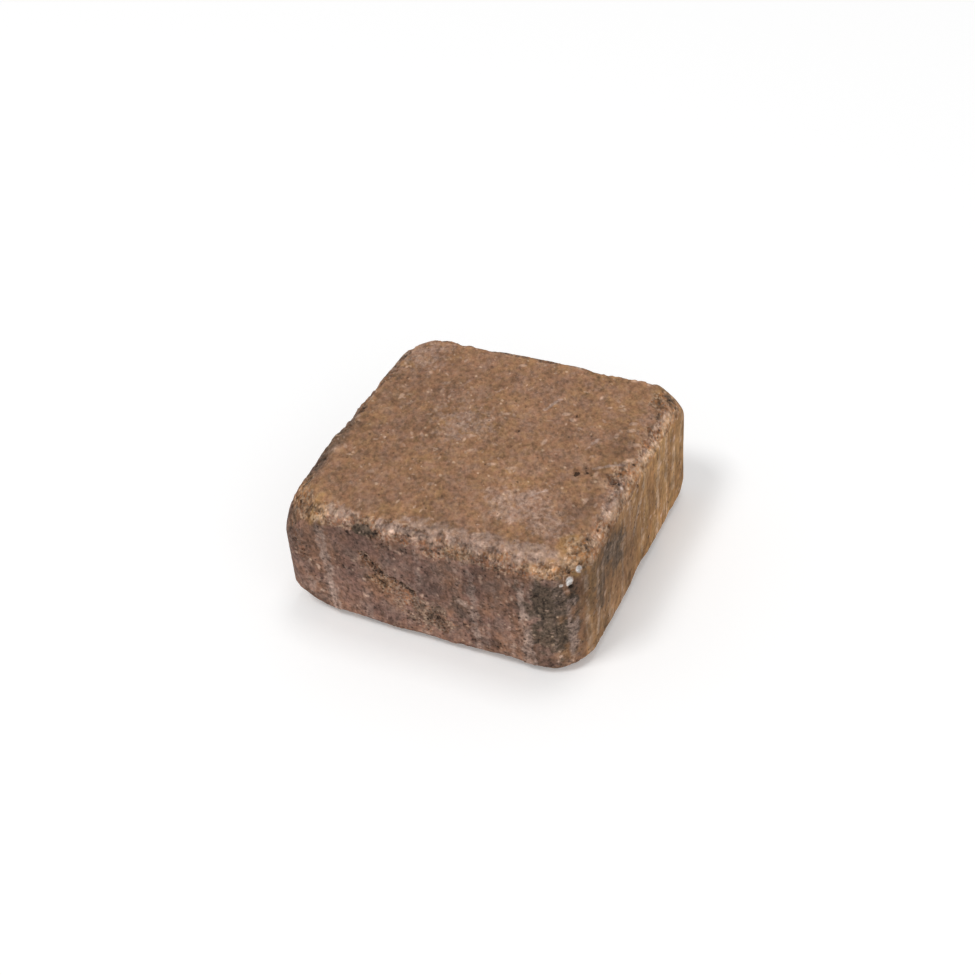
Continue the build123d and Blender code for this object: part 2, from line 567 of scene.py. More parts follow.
    def block(self) -> Piece:
        """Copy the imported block, merge its loose triangles, mesh it evenly and smooth its steps.

        Returns:
            The copy.
        """
        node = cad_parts["paver"]
        piece = bpy.data.objects.new("paver_relief", node.data.copy())
        bpy.context.scene.collection.objects.link(piece)
        piece.data.materials.clear()
        pick(piece)
        bpy.ops.object.mode_set(mode="EDIT")
        bpy.ops.mesh.select_all(action="SELECT")
        bpy.ops.mesh.remove_doubles(threshold=0.001 * MM)
        bpy.ops.mesh.customdata_custom_splitnormals_clear()
        bpy.ops.object.mode_set(mode="OBJECT")
        remesh = piece.modifiers.new("even mesh", "REMESH")
        remesh.mode = "VOXEL"
        remesh.voxel_size = self.voxel * MM
        self.apply(piece, remesh)
        skin = Skin(piece)
        self.soften(piece, self.softening, 1.0 * (skin.points[:, 2] > self.bed))
        self.soften(piece, self.rounding, skin.marks(self.knocked))
        return piece

    def apply(
        self, piece: Piece, modifier: bpy.types.Modifier, weight: np.ndarray | None = None
    ) -> None:
        """Apply a modifier.

        Args:
            piece: The paver.
            modifier: The modifier.
            weight: How much of it each point takes, or None for all of it.
        """
        pick(piece)
        if weight is not None:
            group = piece.vertex_groups.new(name=modifier.name)
            for index in np.flatnonzero(weight > LEAST_WEIGHT).tolist():
                group.add((index,), float(weight[index]), "REPLACE")
            modifier.vertex_group = group.name
        bpy.ops.object.modifier_apply(modifier=modifier.name)
        piece.vertex_groups.clear()

    def soften(self, piece: Piece, rounds: int, weight: np.ndarray) -> None:
        """Run what stands out softly into its surroundings.

        Args:
            piece: The paver.
            rounds: How often the skin is smoothed.
            weight: How much of it each point takes.
        """
        smoothing = piece.modifiers.new("soften", "SMOOTH")
        smoothing.factor, smoothing.iterations = 0.5, rounds
        self.apply(piece, smoothing, weight)

    def press(self, piece: Piece, wear: Wear, weight: np.ndarray | None = None) -> None:
        """Push the skin inwards.

        Args:
            piece: The paver.
            wear: What is pressed in. Where it has clouds, their dark parts go deep.
            weight: How much of the depth each point takes, or None for all of it.
        """
        displace = piece.modifiers.new(wear.name, "DISPLACE")
        if wear.clouds:
            texture = bpy.data.textures.new(wear.name, "CLOUDS")
            texture.noise_scale = wear.clouds * MM
            texture.noise_depth = wear.octaves
            texture.noise_basis = "IMPROVED_PERLIN"
            displace.texture = texture
            displace.texture_coords = "LOCAL"
            displace.mid_level = 1.0
            displace.strength = wear.depth * MM
        else:
            displace.mid_level = 0.0
            displace.strength = -wear.depth * MM
        self.apply(piece, displace, weight)

    def arris_distance(self, skin: Skin, level: float) -> np.ndarray:
        """Measure from each point to the sharp arris that the mould left at a level.

        Args:
            skin: The points.
            level: Height of the face that the arris runs round.

        Returns:
            One distance a point.
        """
        low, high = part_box("paver")
        half = np.array((high.x - low.x, high.y - low.y)) / 2 / MM
        inner = np.abs(skin.points[:, :2]) - (half - self.corner_radius)
        outside = np.linalg.norm(np.maximum(inner, 0.0), axis=1)
        inset = self.corner_radius - outside - np.minimum(inner.max(axis=1), 0.0)
        return np.hypot(np.maximum(inset, 0.0), skin.points[:, 2] - level)

    def masks(self, skin: Skin) -> dict[Mask, np.ndarray]:
        """Work out where each kind of wear and colour lies.

        Args:
            skin: The points.

        Returns:
            One value a point for each mask.
        """
        x, y, z = skin.points.T
        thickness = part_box("paver")[1].z / MM
        broad, fray = skin.cloud(14.0, seed=1), skin.cloud(4.0, seed=2)
        edge = 0.35 * fray + 0.25 * skin.cloud(9.0, seed=3)

        # broken arrises, with an uneven border
        top_gap = self.arris_distance(skin, thickness) - self.top_band
        bed_gap = self.arris_distance(skin, 0.0) - self.bed_band
        gap = np.minimum(top_gap - 2.2 * broad - 1.6 * fray, bed_gap - 1.2 * broad - 0.8 * fray)
        bare = np.maximum(1.0 - smooth(-0.5, 0.5, gap), skin.marks(self.bare, edge))

        # the walls, their own colours and the upright streaks on them
        wall = 1.0 - smooth(0.5, 2.0, 2.5 - np.minimum(thickness - z, z))
        front, left = (smooth(1.0, 0.0, (side + self.half) / 6.0) for side in (y, x))
        right, far_out = smooth(66.0, 69.0, x), smooth(66.0, 69.5, x)
        golden = 0.85 * far_out * smooth(-30.0, 10.0, y + 6.0 * broad)
        olive = 0.6 * far_out * (1.0 - smooth(-52.0, -40.0, y + 3.0 * broad))
        ochre = np.maximum.reduce((skin.marks(self.ochre, edge), golden, olive, 0.5 * right))
        streaks = skin.cloud(5.0, seed=7, tall=9.0) * wall
        lines = 0.75 + 0.7 * skin.cloud(3.0, seed=9, tall=2.5)
        lines *= skin.marks(self.lime_strokes, 0.6 * fray)
        bloom = (0.36 + 0.2 * right) * smooth(0.1, 0.6, streaks)
        lime = np.maximum.reduce((skin.marks(self.lime, 1.2 * edge), lines, bloom))

        # the front wall darkens towards its top
        shaded = 0.6 * smooth(18.0, 44.0, z) + 0.3 * smooth(46.0, 54.0, z)
        shaded += 0.4 * smooth(52.5, 56.0, z)
        shaded *= wall * (1.0 - smooth(-40.0, -10.0, y)) * (1.0 - bare)
        damp = (0.15 + 0.1 * right) * smooth(0.05, 0.6, -streaks)
        darker = np.maximum(skin.marks(self.darker, edge) + shaded, damp)
        return {
            Mask.BARE: bare,
            Mask.PITTED: skin.marks(self.gouge, 0.6 * fray),
            Mask.CHARCOAL: skin.marks(self.charcoal, 1.6 * edge),
            Mask.LIME: lime,
            Mask.OCHRE: ochre,
            Mask.MAUVE: np.maximum(front, left) * wall,
            Mask.WHITE: skin.marks(self.white, 0.3 * fray),
            Mask.PIT: skin.marks(self.holes, 0.25 * fray),
            Mask.CRACK: skin.marks(self.crack, 0.5 * fray),
            Mask.WALL: wall,
            Mask.TONE: 0.5 + 0.5 * (skin.marks(self.lighter, edge) - darker),
        }

    def tumble(self, piece: Piece, masks: dict[Mask, np.ndarray]) -> None:
        """Press all the relief into the paver, from the broad to the fine.

        The skin is first let out by the depth that the relief takes off on average,
        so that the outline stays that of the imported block.

        Args:
            piece: The paver.
            masks: Where the wear lies.
        """
        skin = Skin(piece)
        x, y, z = skin.points.T
        bare, pitted = masks[Mask.BARE], masks[Mask.PITTED]
        walls = (1.0 - smooth(55.0, 59.0, z)) * smooth(1.0, 4.0, z)
        right = smooth(60.0, 67.0, x)

        self.press(piece, self.let_out, 0.3 + 0.7 * smooth(1.0, 6.0, z))
        self.press(piece, self.full_corner, skin.marks(self.fuller))
        self.press(piece, self.low_foot, skin.marks(self.worn_foot))
        self.press(piece, self.uneven)
        drag = smooth(-0.5, 0.6, skin.cloud(5.0, seed=5, tall=10.0))
        self.press(piece, self.drag, drag * walls)
        self.press(piece, self.broken, bare)
        dusty = smooth(6.0, -6.0, x) * smooth(-56.0, -62.0, y)
        high = 0.5 + 0.5 * smooth(8.0, 40.0, z)
        self.press(piece, self.crumbled, bare * high * (1.0 - 0.5 * right - 0.35 * dusty))

        distance, lot = skin.dimples(5.0, seed=1)
        chosen = (lot * 7.0) % 1.0 < 0.03 + 0.1 * walls + 0.25 * bare
        pocket = (1.0 - smooth(0.2, 1.2, distance / (0.4 + 0.6 * lot))) * chosen
        self.press(piece, self.pocket, pocket)
        distance, lot = skin.dimples(2.3, seed=2)
        grains = (1.0 - smooth(0.2, 1.1, distance / (0.5 + 0.6 * lot))) * (lot < 0.7)
        self.press(piece, self.plucked, grains * pitted)
        self.press(piece, self.hole, masks[Mask.PIT])
        self.press(piece, self.split, masks[Mask.CRACK])
        sand = 0.3 + np.maximum((0.35 - 0.15 * right) * bare, 0.6 * pitted)
        self.press(piece, self.sand, sand * (1.0 - 0.6 * right * walls))


class Graph:
    """A node tree with short calls for the nodes that a finish is made of."""

    def __init__(self, tree: Tree) -> None:
        """Take the tree that nodes are added to."""
        self.tree = tree

    def add(self, kind: str, inputs: dict | None = None, **settings: object) -> bpy.types.Node:
        """Add a node.

        Args:
            kind: Its type, without the word ShaderNode.
            inputs: A value or a socket for each input's name or number.
            **settings: Values of its own properties.

        Returns:
            The node.
        """
        node = self.tree.nodes.new(kind if kind.startswith("NodeGroup") else "ShaderNode" + kind)
        for name, value in settings.items():
            setattr(node, name, value)
        for name, value in (inputs or {}).items():
            if isinstance(value, Socket):
                self.tree.links.new(value, node.inputs[name])
            else:
                node.inputs[name].default_value = value
        return node

    def math(self, operation: str, first: Value, *rest: Value) -> Socket:
        """Run an operation on two numbers, or on more of them one after another.

        Args:
            operation: Its name, such as ADD.
            first: The first number.
            *rest: The others.

        Returns:
            The result.
        """
        for value in rest:
            first = self.add("Math", {0: first, 1: value}, operation=operation).outputs[0]
        return first

    def part(self, amount: Value, of: Socket, plus: Value | None = None) -> Socket:
        """Take a part of a mask, and add something to it.

        Args:
            amount: How much of the mask.
            of: The mask.
            plus: What is added, or None.

        Returns:
            The sum.
        """
        share = self.math("MULTIPLY", of, amount)
        return share if plus is None else self.math("ADD", share, plus)

    def vector(self, operation: str, first: Value, second: Value) -> Socket:
        """Return the result of an operation on two vectors."""
        return self.add("VectorMath", {0: first, 1: second}, operation=operation).outputs[0]

    def turned(self, where: Socket, degrees: float) -> Socket:
        """Return places turned by degrees about Z."""
        inputs = {"Vector": where, "Angle": radians(degrees)}
        return self.add("VectorRotate", inputs, rotation_type="Z_AXIS").outputs[0]

    def drawn(self, where: Socket, times: Place) -> Socket:
        """Return places on which a pattern is so many times longer along each axis."""
        return self.vector("MULTIPLY", where, tuple(1.0 / share for share in times))

    def grade(self, value: Socket, low: Value, high: Value) -> Socket:
        """Return 0 below low and 1 above high, with a soft rise between."""
        inputs = {"Value": value, "From Min": low, "From Max": high}
        return self.add("MapRange", inputs, interpolation_type="SMOOTHSTEP").outputs[0]

    def ramp(
        self, value: Socket, low: float, high: float, start: float = 0.0, end: float = 1.0
    ) -> Socket:
        """Return low to high as a value runs from start to end."""
        inputs = {"Value": value, "From Min": start, "From Max": end, "To Min": low, "To Max": high}
        return self.add("MapRange", inputs).outputs[0]

    def mix(self, share: Value, under: Value, over: Value, way: str = "MIX") -> Socket:
        """Return the colour under with the colour over laid on it."""
        inputs = {0: share, 6: under, 7: over}
        return self.add("Mix", inputs, data_type="RGBA", blend_type=way).outputs[2]

    def clouds(self, where: Socket, size: float, detail: float, rough: float) -> Socket:
        """Return cloudy noise of 0 to 1 whose clouds are about size millimetres wide."""
        inputs = {"Vector": where, "Scale": 1.0 / (size * MM), "Detail": detail, "Roughness": rough}
        return self.add("TexNoise", inputs).outputs[0]

    def lots(self, where: Socket, size: float) -> Sockets:
        """Return three random numbers of 0 to 1 for each grain of about size millimetres."""
        grains = self.add("TexVoronoi", {"Vector": where, "Scale": 1.0 / (size * MM)})
        return self.add("SeparateColor", {0: grains.outputs["Color"]}).outputs

    def seen(self) -> Socket:
        """Return 1 to the camera, a mirror and glass, and 0 to the light that falls on things."""
        path = self.add("LightPath").outputs
        rays = ("Is Camera Ray", "Is Glossy Ray", "Is Transmission Ray")
        return self.math("MAXIMUM", *(path[ray] for ray in rays))


def new_group(name: str, numbers: tuple[str, ...]) -> tuple[Graph, Sockets]:
    """Start a shader group that reads places and numbers.

    Args:
        name: Its name.
        numbers: The names of its inputs, next to the places' Vector.

    Returns:
        The graph of the group, and the sockets of its inputs.
    """
    tree = bpy.data.node_groups.new(name, "ShaderNodeTree")
    tree.interface.new_socket("Vector", in_out="INPUT", socket_type="NodeSocketVector")
    for label in numbers:
        tree.interface.new_socket(label, in_out="INPUT", socket_type="NodeSocketFloat")
    graph = Graph(tree)
    return graph, graph.add("NodeGroupInput").outputs


def close_group(graph: Graph, name: str, value: Socket) -> Tree:
    """Give a shader group its one output, a number.

    Args:
        graph: The graph of the group.
        name: The name of the output.
        value: What it puts out.

    Returns:
        The group.
    """
    graph.tree.interface.new_socket(name, in_out="OUTPUT", socket_type="NodeSocketFloat")
    graph.add("NodeGroupOutput", {name: value})
    return graph.tree


def ragged_group() -> Tree:
    """Make the group that gives a mask from the mesh a fine ragged edge.

    Returns:
        The group.
    """
    graph, given = new_group("ragged edge", ("Tendency", "Size", "Raggedness", "Softness"))
    inputs = {"Vector": given["Vector"], "Scale": given["Size"], "Detail": 5.0, "Roughness": 0.65}
    cloud = graph.math("SUBTRACT", graph.add("TexNoise", inputs).outputs[0], 0.5)
    fray = graph.math("MULTIPLY", cloud, given["Raggedness"])
    tendency = graph.math("ADD", given["Tendency"], fray)
    low, high = (graph.math(way, 0.5, given["Softness"]) for way in ("SUBTRACT", "ADD"))
    return close_group(graph, "Mask", graph.grade(tendency, low, high))


def blots_group() -> Tree:
    """Make the group that scatters blots of all sizes, one at most in each cell.

    Returns:
        The group.
    """
    graph, given = new_group("blots", ("Scale", "Size", "Density", "Wobble"))
    finer = graph.math("DIVIDE", given["Scale"], given["Size"])
    inputs = {"Vector": given["Vector"], "Scale": finer, "Detail": 3.0}
    wobble = graph.add("TexNoise", inputs).outputs[1]
    inputs = {0: graph.vector("SUBTRACT", wobble, (0.5, 0.5, 0.5)), "Scale": given["Wobble"]}
    bent = graph.add("VectorMath", inputs, operation="SCALE").outputs[0]
    where = graph.vector("ADD", given["Vector"], bent)
    cells = graph.add("TexVoronoi", {"Vector": where, "Scale": given["Scale"]})
    lots = graph.add("SeparateColor", {0: cells.outputs["Color"]}).outputs
    chosen = graph.math("LESS_THAN", lots[0], given["Density"])
    size = graph.math("MULTIPLY", given["Size"], graph.math("ADD", lots[1], 0.4))
    inner = graph.math("MULTIPLY", size, 0.35)
    blot = graph.math("SUBTRACT", 1.0, graph.grade(cells.outputs["Distance"], inner, size))
    blot = graph.math("MULTIPLY", blot, chosen, graph.part(0.6, lots[2], 0.4))
    return close_group(graph, "Mask", blot)


def grain_group() -> Tree:
    """Make the group that gives each grain its own light or dark, about 0.

    Returns:
        The group.
    """
    graph, given = new_group("grain shade", ("Coarse", "Fine", "Cloudy", "Blotchy"))
    where = given["Vector"]
    shade = 0.0
    for name, pattern in (
        ("Cloudy", graph.grade(graph.clouds(where, 1.7, 2.0, 0.65), 0.3, 0.7)),
        ("Blotchy", graph.clouds(where, 3.4, 2.0, 0.6)),
        ("Coarse", graph.lots(where, COARSE_GRAIN)[2]),
        ("Fine", graph.lots(where, FINE_GRAIN)[2]),
    ):
        shade = graph.part(given[name], graph.math("SUBTRACT", pattern, 0.5), shade)
    return close_group(graph, "Shade", shade)


@dataclass(frozen=True)
class ConcreteFinish:
    """Colours, roughness, grain and strewn blots of the coloured concrete."""

    brown: Paint = screen(150, 114, 86)
    brown_gold: Paint = screen(157, 120, 84)
    brown_grey: Paint = screen(151, 122, 109)
    brown_red: Paint = screen(146, 102, 76)
    mauve: Paint = screen(140, 106, 93)
    mauve_brown: Paint = screen(145, 107, 85)
    mauve_grey: Paint = screen(138, 116, 106)
    ochre: Paint = screen(174, 135, 88)
    ochre_red: Paint = screen(166, 121, 76)
    charcoal: Paint = screen(122, 103, 87)
    soot: Paint = screen(62, 52, 42)
    # painted shade: the near-black of the pits, holes and crack
    pit_shade: Paint = screen(50, 34, 25)
    lime: Paint = screen(200, 172, 157)
    dust: Paint = screen(162, 138, 126)
    dust_gold: Paint = screen(186, 152, 114)
    white: Paint = screen(252, 247, 243)
    # painted shade: the grey of the white chips' shaded sides
    chip_side_shade: Paint = screen(186, 176, 170)
    fleck: Paint = screen(214, 180, 158)
    # cream of the sand, also painted along the rim of the broken skin as a highlight
    sand_cream_and_highlight: Paint = screen(216, 184, 156)
    sand_orange: Paint = screen(176, 116, 74)
    sand_grey: Paint = screen(158, 136, 122)
    sand_brown: Paint = screen(118, 86, 66)
    roughness: float = 0.9
    specular: float = 0.25
    turn: float = 27.6
    stretch: Place = (1.0, 1.4, 1.05)
    streaks: Place = (1.0, 0.7, 0.14)
    tall_grain: Place = (1.0, 0.8, 0.3)
    grit: float = 0.7
    grit_height: float = 0.25

    pale_blots: Strewn = Strewn(9.0, 3.4, (1.4, 1.0, 1.2), amount=0.2)
    flecks: tuple[Strewn, ...] = (
        Strewn(4.6, 1.4, (1.9, 0.8, 1.0), 27.0, 0.7),
        Strewn(4.2, 1.2, (1.6, 0.8, 1.3), 75.0, 0.7),
        Strewn(3.6, 1.0, (1.3, 0.8, 1.2), -35.0, 0.7),
    )
    scratches: tuple[Strewn, ...] = (
        Strewn(4.0, 0.5, (7.0, 0.8, 1.0), 58.0, 0.5),
        Strewn(4.0, 0.5, (6.0, 0.8, 1.0), 20.0, 0.5),
    )
    upright_scratches: Strewn = Strewn(3.0, 0.6, (1.0, 1.5, 7.0), amount=0.6)
    cream_grains: Strewn = Strewn(2.0, 0.65, (1.2, 1.0, 1.0), amount=0.65)
    fine_pits: Strewn = Strewn(1.8, 0.6, (1.0, 0.9, 0.9))
    coarse_pits: Strewn = Strewn(2.8, 0.9, (1.2, 0.9, 0.8), 30.0)
    comb: Strewn = Strewn(1.25, 0.5, (1.0, 0.9, 0.9), 10.0)

    def material(self) -> bpy.types.Material:
        """Build the material from the masks and from patterns in object space.

        Returns:
            The material.
        """
        material = bpy.data.materials.new("tumbled concrete")
        material.use_nodes = True
        graph = Graph(material.node_tree)
        shader = material.node_tree.nodes["Principled BSDF"]
        shader.inputs["Roughness"].default_value = self.roughness
        shader.inputs["Specular IOR Level"].default_value = self.specular
        where = graph.add("TexCoord").outputs["Object"]
        drawn = graph.drawn(graph.turned(where, -self.turn), self.stretch)
        across = graph.add("SeparateXYZ", {0: where}).outputs[0]
        right = graph.grade(across, 65.5 * MM, 69.0 * MM)
        colour = Coat(material.node_tree, self, drawn, right).finished()
        grit = graph.clouds(where, self.grit, 3.0, 0.7)
        inputs = {"Height": grit, "Distance": self.grit_height * MM, "Strength": 0.8}
        material.node_tree.links.new(colour, shader.inputs["Base Color"])
        material.node_tree.links.new(graph.add("Bump", inputs).outputs[0], shader.inputs["Normal"])
        return material


class Coat(Graph):
    """The colour of the concrete, laid layer over layer from the pressed body to the dust."""

    def __init__(self, tree: Tree, paints: ConcreteFinish, where: Socket, right: Socket) -> None:
        """Gather what the layers share.

        Args:
            tree: The material's node tree.
            paints: The colours and the strewn blots.
            where: Object coordinates, turned and drawn out.
            right: 1 on the right wall, 0 elsewhere.
        """
        super().__init__(tree)
        self.paints, self.where, self.right = paints, where, right
        self.ragged, self.blots, self.grain = ragged_group(), blots_group(), grain_group()
        self.held = {
            mask: self.add("Attribute", attribute_name=mask.value).outputs["Fac"] for mask in Mask
        }
        self.wall, self.gouge = self.held[Mask.WALL], self.held[Mask.PITTED]
        self.upright = self.vector("MULTIPLY", where, paints.streaks)
        self.bare = self.mask(Mask.BARE, 1.8, 0.7, 0.13)
        self.stained = self.mask(Mask.CHARCOAL, 2.4, 1.1, 0.55)
        coarse, self.fine = self.lots(where, COARSE_GRAIN), self.lots(where, FINE_GRAIN)
        speck = self.part(0.5, coarse[0], self.part(0.5, self.fine[0]))
        self.speck = self.grade(speck, 0.1, 0.9)
        self.pale = self.mix(self.held[Mask.OCHRE], paints.lime, paints.sand_cream_and_highlight)
        self.colour = self.body()

    def mask(self, kind: Mask, size: float, raggedness: float, softness: float) -> Socket:
        """Fray the edge of a mask of the mesh.

        Args:
            kind: The mask.
            size: Size of the clouds that fray it.
            raggedness: How far they push the edge in and out.
            softness: How wide the edge is.

        Returns:
            The frayed mask.
        """
        inputs = {"Vector": self.where, "Tendency": self.held[kind], "Size": 1.0 / (size * MM)}
        inputs |= {"Raggedness": raggedness, "Softness": softness}
        return self.add("Group", inputs, node_tree=self.ragged).outputs[0]

    def scatter(self, blots: Strewn, density: Value) -> Socket:
        """Strew blots.

        Args:
            blots: How far apart, how large and how long they are.
            density: Which share of their places is taken.

        Returns:
            The mask of the blots.
        """
        where = self.turned(self.where, self.paints.turn - blots.turn)
        inputs = {"Vector": self.drawn(where, blots.drawn), "Density": density}
        inputs |= {"Scale": 1.0 / (blots.spacing * MM), "Size": blots.size / blots.spacing}
        inputs |= {"Wobble": 0.7 * min(blots.size, 1.0) * MM}
        return self.add("Group", inputs, node_tree=self.blots).outputs[0]

    def cloud(self, size: float, low: float, high: float, detail: float = 5.0) -> Socket:
        """Return noise that is spread over 0 to 1."""
        return self.grade(self.clouds(self.where, size, detail, 0.65), low, high)

    def thin(self, amount: float, mask: Socket, under: Value, over: Value) -> Socket:
        """Return the colour under with so much of the colour over on it where a mask is."""
        return self.mix(self.part(amount, mask), under, over)

    def lay(self, amount: float, mask: Socket, over: Value) -> None:
        """Lay so much of a colour on the paver where a mask is."""
        self.colour = self.thin(amount, mask, self.colour, over)

    def strew(self, blots: Strewn, density: Value, over: Value) -> None:
        """Strew blots of a colour on the paver."""
        self.lay(blots.amount, self.scatter(blots, density), over)

    def finished(self) -> Socket:
        """Lay all the layers over each other, shade them and set the stone chips in.

        Returns:
            The colour of the surface.
        """
        for layer in (self.bare_sand, self.stain, self.dust, self.fleck, self.pit_shade):
            layer()
        tone = self.tone()
        shaded = self.mix(1.0, self.colour, tone, "MULTIPLY")
        # the white stone chips, with painted shade on their sides: chip grey strewn grain by grain
        # through the white
        crystal_with_shade = self.mix(self.speck, self.paints.chip_side_shade, self.paints.white)
        bright = self.mix(self.grade(self.held[Mask.WHITE], 0.5, 0.9), self.paints.fleck, crystal_with_shade)
        chips = self.mask(Mask.WHITE, 0.9, 1.1, 0.3)
        return self.mix(chips, shaded, self.mix(0.5, bright, tone, "MULTIPLY"))

    def body(self) -> Socket:
        """Colour the pressed body: a brown top, mauve front and left walls, an ochre right wall.

        Returns:
            The colour.
        """
        paints = self.paints
        drift, blush = self.cloud(17.0, 0.38, 0.62), self.cloud(7.0, 0.40, 0.66, 6.0)
        top = self.mix(drift, paints.brown, paints.brown_gold)
        top = self.thin(0.55, blush, top, paints.brown_grey)
        top = self.thin(0.55, self.cloud(3.0, 0.34, 0.66, 3.0), top, paints.brown_red)
        side = self.mix(drift, paints.mauve, paints.mauve_brown)
        side = self.thin(0.6, blush, side, paints.mauve_grey)
        colour = self.mix(self.mask(Mask.MAUVE, 6.0, 0.7, 0.25), top, side)
        streaky = self.grade(self.clouds(self.upright, 3.4, 3.0, 0.5), 0.3, 0.7)
        rust = self.mix(streaky, paints.ochre, paints.ochre_red)
        return self.thin(0.85, self.mask(Mask.OCHRE, 7.0, 1.0, 0.4), colour, rust)

    def bare_sand(self) -> None:
        """Bare the coloured sand where the skin is broken, with a painted cream highlight along the
        rim of the break.
        """
        paints = self.paints
        sands = (paints.sand_brown, paints.sand_orange, paints.sand_grey)
        sands += (paints.brown, paints.sand_cream_and_highlight)
        ramp = self.add("ValToRGB", {0: self.speck})
        stops = ramp.color_ramp.elements
        for index, shade in enumerate(sands):
            at = index / (len(sands) - 1)
            if index >= len(stops):
                stops.new(at)
            stops[index].position = at
            stops[index].color = shade
        sand = self.mix(0.55, self.colour, ramp.outputs[0])
        self.colour = self.mix(self.bare, self.colour, sand)
        self.colour = self.mix(self.mask(Mask.PITTED, 2.5, 1.2, 0.4), self.colour, sand)
        # painted highlight: a cream line along the rim of the broken skin, where its step faces the
        # light
        lip_highlight = self.math("SUBTRACT", self.grade(self.held[Mask.BARE], 0.1, 0.4), self.bare)
        lip_highlight = self.math("MULTIPLY", lip_highlight, self.cloud(5.0, 0.48, 0.6, 3.0))
        self.lay(0.55, lip_highlight, paints.sand_cream_and_highlight)

    def stain(self) -> None:
        """Lay the charcoal stains."""
        sooty = self.part(0.35, self.cloud(2.0, 0.36, 0.64), self.part(0.65, self.speck))
        dark = self.mix(sooty, self.paints.soot, self.paints.charcoal)
        self.colour = self.mix(self.stained, self.colour, dark)

    def dust(self) -> None:
        """Lay the lime bloom and its dust, and a few broad pale blots."""
        powder = self.mix(self.held[Mask.OCHRE], self.paints.dust, self.paints.dust_gold)
        powder = self.mix(self.speck, powder, self.pale)
        self.lay(0.75, self.mask(Mask.LIME, 2.6, 1.8, 0.45), powder)
        self.strew(self.paints.pale_blots, 0.3, self.pale)

    def fleck(self) -> None:
        """Strew the pale flecks, the scratches and the cream grains."""
        gathered = self.cloud(12.0, 0.42, 0.62, 2.0)
        few = self.part(0.36, gathered, 0.09)
        for blots in self.paints.flecks:
            self.strew(blots, few, self.paints.fleck)
        few = self.part(0.3, gathered, 0.1)
        for blots in self.paints.scratches:
            self.strew(blots, few, self.paints.fleck)
        self.strew(self.paints.upright_scratches, self.math("MULTIPLY", self.wall, few), self.pale)
        worn = self.math("MAXIMUM", self.bare, self.gouge, self.stained)
        self.strew(self.paints.cream_grains, self.part(0.25, worn, 0.1), self.paints.sand_cream_and_highlight)

    def pit_shade(self) -> None:
        """Paint shade into the pits, the comb of holes along the crack, and the placed holes."""
        paints, crack, walls = self.paints, self.held[Mask.CRACK], self.part(0.3, self.wall)
        many = self.part(0.5, self.stained, self.math("ADD", walls, 0.06))
        # painted shade: dark dots for small pits that are not in the mesh
        fine = self.scatter(paints.fine_pits, self.part(0.9, self.gouge, many))
        many = self.part(0.5, self.gouge, self.part(0.5, walls))
        coarse = self.scatter(paints.coarse_pits, many)
        comb = self.grade(self.scatter(paints.comb, self.part(0.3, self.gouge, crack)), 0.0, 0.6)
        # painted shade inside the crack and holes that are pressed into the mesh
        deep = self.math("MAXIMUM", self.part(0.42, crack), self.part(0.85, self.held[Mask.PIT]))
        crumb = self.part(0.4, self.fine[2], self.part(0.4, self.cloud(1.3, 0.3, 0.7, 2.0)))
        broken = self.grade(self.math("ADD", deep, crumb), 0.8, 1.0)
        broken = self.math("MULTIPLY", broken, self.grade(deep, 0.1, 0.3))
        self.lay(0.85, self.math("MAXIMUM", fine, comb, coarse, broken), paints.pit_shade)

    def tone(self) -> Socket:
        """Work out how light or dark each place is: grains, clouds, patches, and painted shade and
        highlight from the relief.

        Returns:
            A grey of about 1.
        """
        rough = self.math("MAXIMUM", self.held[Mask.BARE], self.gouge, self.stained)
        rough = self.part(0.06, rough, self.part(0.2, self.wall))
        inputs = {"Vector": self.where, "Cloudy": 0.3, "Blotchy": self.math("ADD", self.bare, 0.6)}
        inputs |= {"Coarse": self.math("ADD", rough, 0.26), "Fine": self.math("ADD", rough, 0.2)}
        grains = self.add("Group", inputs, node_tree=self.grain).outputs[0]
        tall = self.vector("MULTIPLY", self.where, self.paints.tall_grain)
        inputs = {"Vector": tall, "Cloudy": 0.2, "Blotchy": 0.65, "Coarse": 0.22, "Fine": 0.18}
        upright = self.add("Group", inputs, node_tree=self.grain).outputs[0]
        elsewhere = self.math("SUBTRACT", 1.0, self.right)
        shade = self.part(grains, elsewhere, self.math("MULTIPLY", upright, self.right))
        broad = self.math("SUBTRACT", self.clouds(self.where, 9.0, 3.0, 0.8), 0.5)
        shade = self.part(broad, self.part(0.6, self.wall, self.part(1.5, self.bare, 1.1)), shade)
        drag = self.grade(self.clouds(self.upright, 1.6, 3.0, 0.6), 0.3, 0.7)
        strength = self.math("SUBTRACT", self.part(0.3, self.wall), self.part(0.2, self.right))
        shade = self.part(strength, self.math("SUBTRACT", drag, 0.5), shade)
        shade = self.math("ADD", shade, 1.0)
        # painted shade in the hollows and painted highlight where the relief stands out
        relief = self.ramp(self.held[Mask.RELIEF_SHADE], 0.74, 1.12, start=0.1, end=0.8)
        shade = self.math("MULTIPLY", shade, relief, self.ramp(self.held[Mask.TONE], 0.6, 1.4))
        return self.add("CombineColor", {0: shade, 1: shade, 2: shade}).outputs[0]


